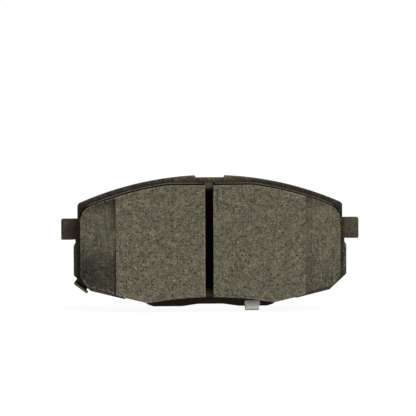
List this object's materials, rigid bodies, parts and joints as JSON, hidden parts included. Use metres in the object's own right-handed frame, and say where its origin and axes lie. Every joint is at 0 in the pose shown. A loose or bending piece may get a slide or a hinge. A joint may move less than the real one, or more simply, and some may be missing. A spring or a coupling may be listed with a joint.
{
  "type": "disc brake pad",
  "caption": "Disc brake pad: eared steel backing plate with a slotted, end-chamfered lining, shims hooked on the back and a wear indicator at one corner.",
  "frame": {"origin": "on the rear shim's back face, midway between the ears and level with their centre line, where the calliper piston presses", "axes": "+X along the pad from the ear at the wear indicator's end to the other ear; +Y out of the rear shim towards the piston, so the friction face looks towards -Y; +Z towards the curved outer edge, away from the disc's axis"},
  "size_m": [0.1316, 0.018, 0.0598],
  "materials": {
    "painted_plate": "thin satin brown-black baked coating over stamped steel",
    "underlayer": "matt moulded compound",
    "friction_material": "ground olive-grey composite with dark and light flecks",
    "rubber_coating": "matt black rubber skin on steel",
    "bright_steel": "bright rolled sheet",
    "spring_steel": "dark oiled spring strip",
    "rivet_steel": "zinc-plated"
  },
  "bodies": {
    "root": {"backing_plate": "painted_plate", "underlayer": "underlayer", "friction_block_left": "friction_material", "friction_block_right": "friction_material", "inner_shim": "rubber_coating", "outer_shim": "bright_steel", "wear_indicator": "spring_steel", "wear_indicator_rivet": "rivet_steel"}
  },
  "joints": []
}
